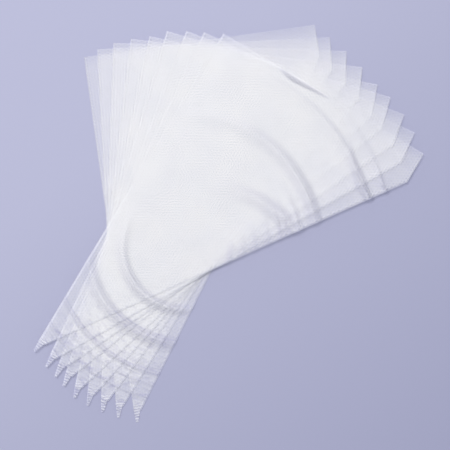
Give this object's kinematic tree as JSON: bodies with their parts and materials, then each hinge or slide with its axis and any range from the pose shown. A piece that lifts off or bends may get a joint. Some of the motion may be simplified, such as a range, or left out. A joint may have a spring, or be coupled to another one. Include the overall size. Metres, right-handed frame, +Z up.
{
  "type": "piping bag set",
  "caption": "Thin see-through disposable piping bags for icing, empty and flat, laid on top of one another and turned into a fan; each tapers from a wide mouth to a closed point.",
  "frame": {"origin": "the point the fan turns about, on the flat underside of the bottom bag", "axes": "+Z up, square to the flat bags; +Y from the tips to the mouths, 8 degrees from the long fold of the bottom bag; +X towards the slanted welds"},
  "size_m": [0.3168, 0.3235, 0.0051],
  "materials": {
    "film": "thin see-through film, milky where several lie together",
    "fold": "rounded edge of folded film, catches a thin bright line",
    "weld": "hot-cut weld bead, slightly puckered"
  },
  "bodies": {
    "bag_1": {"bag_1_back_film": "film", "bag_1_front_film": "film", "bag_1_long_fold": "fold", "bag_1_short_fold": "fold", "bag_1_side_weld": "weld", "bag_1_tip_seal": "weld"},
    "bag_2": {"bag_2_back_film": "film", "bag_2_front_film": "film", "bag_2_long_fold": "fold", "bag_2_short_fold": "fold", "bag_2_side_weld": "weld", "bag_2_tip_seal": "weld"},
    "bag_3": {"bag_3_back_film": "film", "bag_3_front_film": "film", "bag_3_long_fold": "fold", "bag_3_short_fold": "fold", "bag_3_side_weld": "weld", "bag_3_tip_seal": "weld"},
    "bag_4": {"bag_4_back_film": "film", "bag_4_front_film": "film", "bag_4_long_fold": "fold", "bag_4_short_fold": "fold", "bag_4_side_weld": "weld", "bag_4_tip_seal": "weld"},
    "bag_5": {"bag_5_back_film": "film", "bag_5_front_film": "film", "bag_5_long_fold": "fold", "bag_5_short_fold": "fold", "bag_5_side_weld": "weld", "bag_5_tip_seal": "weld"},
    "bag_6": {"bag_6_back_film": "film", "bag_6_front_film": "film", "bag_6_long_fold": "fold", "bag_6_short_fold": "fold", "bag_6_side_weld": "weld", "bag_6_tip_seal": "weld"},
    "bag_7": {"bag_7_back_film": "film", "bag_7_front_film": "film", "bag_7_long_fold": "fold", "bag_7_short_fold": "fold", "bag_7_side_weld": "weld", "bag_7_tip_seal": "weld"},
    "bag_8": {"bag_8_back_film": "film", "bag_8_front_film": "film", "bag_8_long_fold": "fold", "bag_8_short_fold": "fold", "bag_8_side_weld": "weld", "bag_8_tip_seal": "weld"},
    "bag_9": {"bag_9_back_film": "film", "bag_9_long_fold": "fold", "bag_9_short_fold": "fold", "bag_9_side_weld": "weld", "bag_9_tip_seal": "weld"},
    "bag_9_front": {"bag_9_front_film": "film"}
  },
  "joints": [
    {"name": "bag_2_turn", "type": "hinge", "parent": "bag_1", "child": "bag_2", "pos_m": [0, 0, 0], "axis": [0, 0, -1], "range_deg": [-5, 7]},
    {"name": "bag_3_turn", "type": "hinge", "parent": "bag_2", "child": "bag_3", "pos_m": [0, 0, 0], "axis": [0, 0, -1], "range_deg": [-5, 7]},
    {"name": "bag_4_turn", "type": "hinge", "parent": "bag_3", "child": "bag_4", "pos_m": [0, 0, 0], "axis": [0, 0, -1], "range_deg": [-5, 7]},
    {"name": "bag_5_turn", "type": "hinge", "parent": "bag_4", "child": "bag_5", "pos_m": [0, 0, 0], "axis": [0, 0, -1], "range_deg": [-5, 7]},
    {"name": "bag_6_turn", "type": "hinge", "parent": "bag_5", "child": "bag_6", "pos_m": [0, 0, 0], "axis": [0, 0, -1], "range_deg": [-4.5, 7.5]},
    {"name": "bag_7_turn", "type": "hinge", "parent": "bag_6", "child": "bag_7", "pos_m": [0, 0, 0], "axis": [0, 0, -1], "range_deg": [-4.5, 7.5]},
    {"name": "bag_8_turn", "type": "hinge", "parent": "bag_7", "child": "bag_8", "pos_m": [0, 0, 0], "axis": [0, 0, -1], "range_deg": [-4.5, 7.5]},
    {"name": "bag_9_turn", "type": "hinge", "parent": "bag_8", "child": "bag_9", "pos_m": [0, 0, 0], "axis": [0, 0, -1], "range_deg": [-5.5, 6.5]},
    {"name": "mouth_open", "type": "hinge", "parent": "bag_9", "child": "bag_9_front", "pos_m": [-0.11889, -0.07587, 0.00504], "axis": [0.8572, -0.515, 0], "range_deg": [0, 5]}
  ]
}
